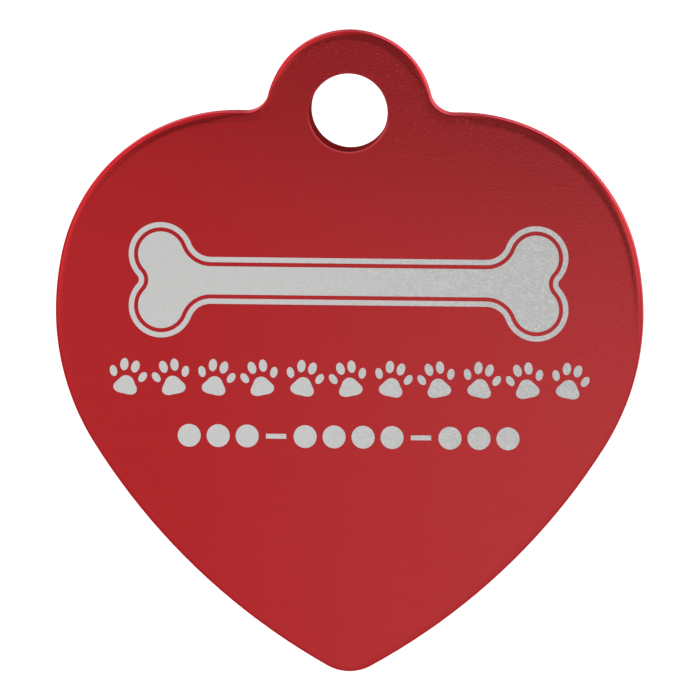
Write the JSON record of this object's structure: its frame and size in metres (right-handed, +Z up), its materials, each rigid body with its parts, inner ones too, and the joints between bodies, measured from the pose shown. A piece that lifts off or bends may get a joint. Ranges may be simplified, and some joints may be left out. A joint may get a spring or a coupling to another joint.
{
  "type": "pet id tag",
  "caption": "Flat heart-shaped metal pet id tag with a rounded ear at the top, pierced by a round hole for a split ring.",
  "frame": {"origin": "centre of the ring hole, halfway through the sheet", "axes": "+Z up towards the top of the ear when the tag hangs, +X to the right as seen from the face, +Y along the hole and out of the back, so the face looks towards -Y"},
  "size_m": [0.0318, 0.0016, 0.0349],
  "materials": {
    "anodised_plate": "red anodised film over finely brushed sheet, satin, edges tumbled",
    "bare_mark": "bare matt aluminium where a laser has taken the red film off the face"
  },
  "bodies": {
    "root": {"tag_blank": "anodised_plate"}
  },
  "joints": []
}
